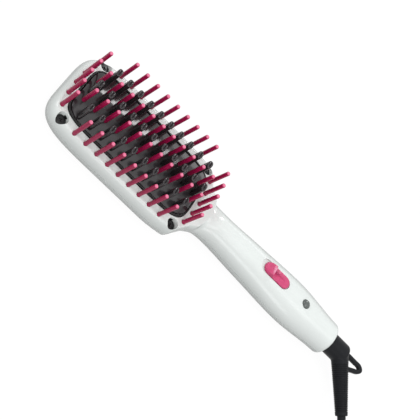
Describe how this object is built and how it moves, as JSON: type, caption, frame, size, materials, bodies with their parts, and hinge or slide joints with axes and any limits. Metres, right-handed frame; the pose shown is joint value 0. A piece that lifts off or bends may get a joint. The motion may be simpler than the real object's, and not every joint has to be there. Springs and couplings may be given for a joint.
{
  "type": "hair straightening brush",
  "caption": "Paddle-shaped hair straightening brush with a heated plate of blades between cool pins, a slide switch in the handle and a swivelling mains cord.",
  "frame": {"origin": "middle of the head's flat back, on the surface that the brush lies on", "axes": "+X from the head along the handle to the cord, +Y across the head, +Z from the back towards the pin tips"},
  "size_m": [0.4427, 0.1037, 0.0432],
  "materials": {
    "shell_white": "glossy cool white",
    "plate_black": "glossy black ceramic coat on cast aluminium",
    "tray_black": "smooth heat-resistant black",
    "pin_pink": "satin magenta, paler at the tips",
    "switch_pink": "satin hot pink",
    "screw_black": "black oxide",
    "steel": "plain sheet and wire",
    "brass": "bright",
    "heater_ceramic": "matt ceramic",
    "mica": "thin mica",
    "board_green": "solder resist",
    "natural_plastic": "natural white",
    "lens_grey": "smoky, unlit",
    "swivel_black": "fine satin black",
    "cord_black": "satin black jacket",
    "lead_brown": "insulated wire",
    "lead_blue": "insulated wire"
  },
  "bodies": {
    "handle": {"front_shell": "shell_white", "rear_shell": "shell_white", "heating_plate": "plate_black", "plate_tray": "tray_black", "outer_pins_left": "pin_pink", "outer_pins_right": "pin_pink", "outer_pins_far": "pin_pink", "outer_pins_near": "pin_pink", "inner_pin_strip_left": "pin_pink", "inner_pin_strip_right": "pin_pink", "heater_far": "heater_ceramic", "heater_near": "heater_ceramic", "mica_sheet": "mica", "heater_clamp": "steel", "clamp_screw_far": "steel", "clamp_screw_near": "steel", "thermostat": "tray_black", "thermal_fuse": "steel", "head_screw_far_left": "screw_black", "head_screw_far_right": "screw_black", "head_screw_near_left": "screw_black", "head_screw_near_right": "screw_black", "slide_switch_body": "steel", "control_board": "board_green", "drop_capacitor": "natural_plastic", "indicator_lens": "lens_grey", "indicator_led": "natural_plastic", "swivel_bush": "natural_plastic", "contact_block": "natural_plastic", "contact_brush_live": "brass", "contact_brush_neutral": "brass", "heater_lead_live": "lead_brown", "heater_lead_neutral": "lead_blue", "supply_lead_live": "lead_brown", "supply_lead_neutral": "lead_blue"},
    "switch": {"switch_knob": "switch_pink", "switch_slider": "tray_black"},
    "swivel": {"cord_swivel": "swivel_black", "slip_ring_live": "brass", "slip_ring_neutral": "brass", "cord": "cord_black", "cord_coil": "cord_black", "cord_tie": "tray_black", "plug_body": "cord_black", "plug_blade_left": "steel", "plug_blade_right": "steel"}
  },
  "joints": [
    {"name": "switch_slide", "type": "slide", "parent": "handle", "child": "switch", "axis": [1, 0, 0], "range_m": [-0.0028, 0]},
    {"name": "cord_swivel_turn", "type": "hinge", "parent": "handle", "child": "swivel", "pos_m": [0.1854, 0, 0.01365], "axis": [1, 0, 0], "continuous": true}
  ]
}
